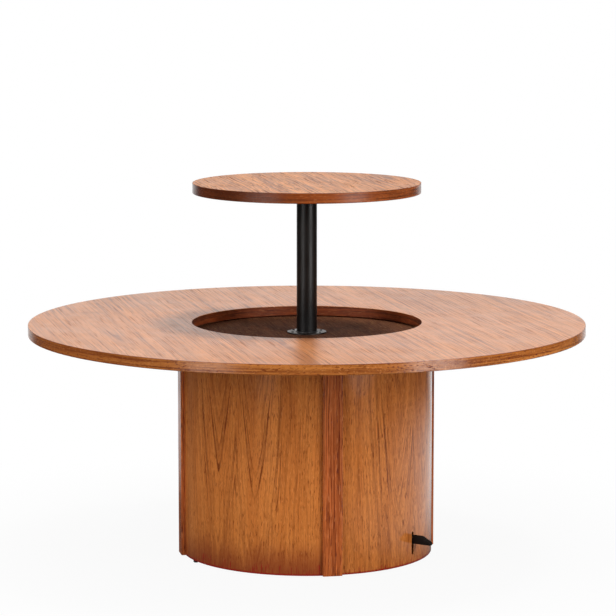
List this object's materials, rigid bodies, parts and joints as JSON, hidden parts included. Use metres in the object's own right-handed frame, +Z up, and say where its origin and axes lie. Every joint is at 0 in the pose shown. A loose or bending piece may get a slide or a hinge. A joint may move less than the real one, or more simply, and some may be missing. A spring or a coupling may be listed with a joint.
{
  "type": "dining table with lazy susan",
  "caption": "Round veneered dining table on a drum base; a lazy susan disc in the middle of the top rises on a post and turns, its gas spring released by a foot pedal.",
  "frame": {"origin": "on the floor, below the middle of the round top", "axes": "+Z up along the lift post, +X towards the foot pedal; the disc is in its raised place"},
  "size_m": [1.735, 1.7349, 1.166],
  "materials": {
    "veneer_top": "satin lacquered teak veneer",
    "lipping_teak": "satin lacquered solid teak, grain along the edge",
    "drum_teak": "satin lacquered teak veneer, upright grain",
    "strip_teak": "satin lacquered solid teak, upright grain",
    "dark_board": "dark stained",
    "plywood": "unfinished plywood",
    "zinc_steel": "zinc plated",
    "black_enamel": "satin black enamel",
    "hard_chrome": "polished",
    "black_nylon": "moulded",
    "pedal_rubber": "matt",
    "felt": "pressed felt"
  },
  "bodies": {
    "base": {"table_top": "veneer_top", "top_edge_lipping": "lipping_teak", "top_hole_lipping": "lipping_teak", "packing_ring": "dark_board", "top_screws": "zinc_steel", "deck_board": "dark_board", "deck_hoop": "plywood", "deck_hoop_screws": "zinc_steel", "panel_right": "drum_teak", "panel_back": "drum_teak", "panel_left": "drum_teak", "panel_front": "drum_teak", "strip_back_right": "strip_teak", "strip_back_left": "strip_teak", "strip_front_left": "strip_teak", "strip_front_right": "strip_teak", "base_hoop": "plywood", "base_board": "plywood", "base_screws": "zinc_steel", "far_glides": "black_nylon", "near_glides": "black_nylon", "guide_sleeve": "zinc_steel", "upper_bush": "black_nylon", "lower_bush": "black_nylon", "flange_screws": "zinc_steel", "gas_cylinder": "black_enamel", "rod_guide": "black_nylon", "cylinder_nut": "zinc_steel", "lift_bracket": "zinc_steel", "bracket_screws": "zinc_steel", "pivot_pin": "zinc_steel", "spring_cup": "zinc_steel", "pedal_spring": "hard_chrome"},
    "lift": {"lift_post": "black_enamel", "post_plug": "zinc_steel", "gas_rod": "hard_chrome", "gas_piston": "black_nylon", "swivel_inner_plate": "zinc_steel", "swivel_balls": "hard_chrome"},
    "susan": {"susan_board": "veneer_top", "susan_lipping": "lipping_teak", "swivel_outer_ring": "zinc_steel", "swivel_screws": "zinc_steel", "susan_felts": "felt"},
    "pedal": {"pedal_lever": "black_enamel", "pedal_pad": "pedal_rubber", "pivot_spacers": "zinc_steel"},
    "release": {"release_pin": "hard_chrome"}
  },
  "joints": [
    {"name": "susan_lift", "type": "slide", "parent": "base", "child": "lift", "axis": [0, 0, 1], "range_m": [-0.436, 0]},
    {"name": "susan_spin", "type": "hinge", "parent": "lift", "child": "susan", "pos_m": [0, 0, 1.145], "axis": [0, 0, 1], "continuous": true},
    {"name": "pedal_press", "type": "hinge", "parent": "base", "child": "pedal", "pos_m": [0.048, 0, 0.062], "axis": [0, 1, 0], "range_deg": [0, 5.4], "stiffness_Nm_per_rad": 15, "springref_deg": -11.46, "deforming": ["pedal_spring"]},
    {"name": "release_slide", "type": "slide", "parent": "base", "child": "release", "axis": [0, 0, 1], "range_m": [0, 0.00453]}
  ],
  "couplings": [
    {"joint": "release_slide", "follows": "pedal_press", "m_per_rad": 0.048}
  ]
}
